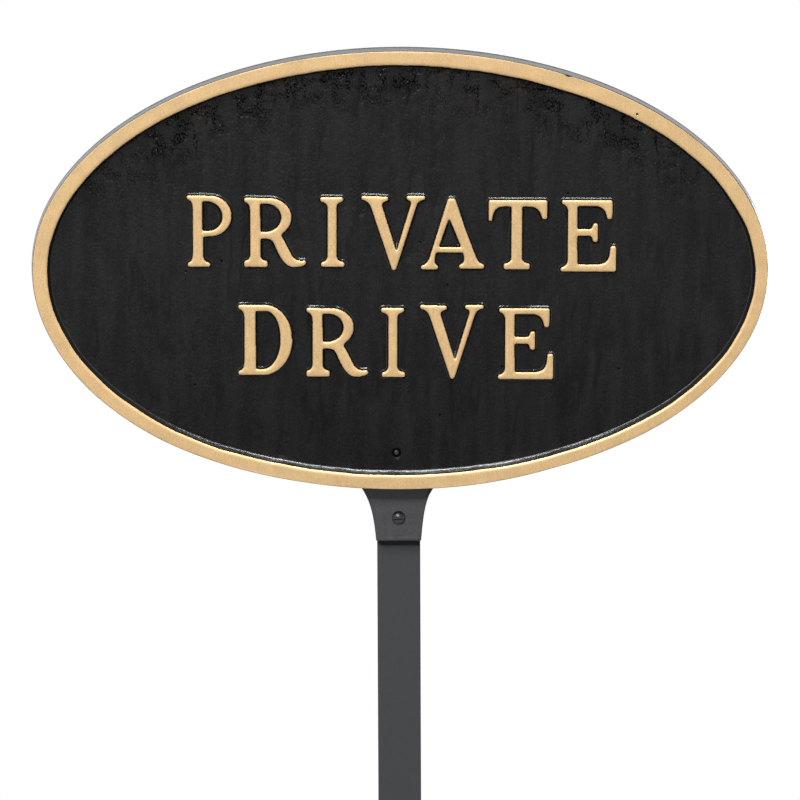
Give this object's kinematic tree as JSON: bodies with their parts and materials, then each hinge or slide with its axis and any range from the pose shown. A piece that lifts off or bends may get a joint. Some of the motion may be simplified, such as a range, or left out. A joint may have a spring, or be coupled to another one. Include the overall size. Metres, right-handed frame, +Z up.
{
  "type": "private drive sign",
  "caption": "Oval cast plaque with a raised rim and plain raised wording, held by a flared bracket on a flat pointed stake that is pushed into the ground beside a drive.",
  "frame": {"origin": "on the stake's axis at the ground line, where the bar goes into the soil", "axes": "+Z up along the stake, the sign's face looks along -Y, +X to the reader's right"},
  "size_m": [0.254, 0.0245, 0.7101],
  "materials": {
    "black_enamel": "satin black enamel on a sand casting",
    "gold_enamel": "satin gold enamel on the faces of the rim and the wording",
    "charcoal_cast": "matte charcoal powder coat on a casting",
    "charcoal_steel": "matte charcoal powder coat on a rolled bar",
    "dark_screw": "satin dark oxide",
    "zinc_steel": "satin zinc plate"
  },
  "bodies": {
    "root": {"plaque": "black_enamel", "stake_bracket": "charcoal_cast", "stake": "charcoal_steel", "plaque_screw": "dark_screw", "stake_screw": "dark_screw", "stake_lock_washer": "zinc_steel", "stake_nut": "zinc_steel"}
  },
  "joints": []
}
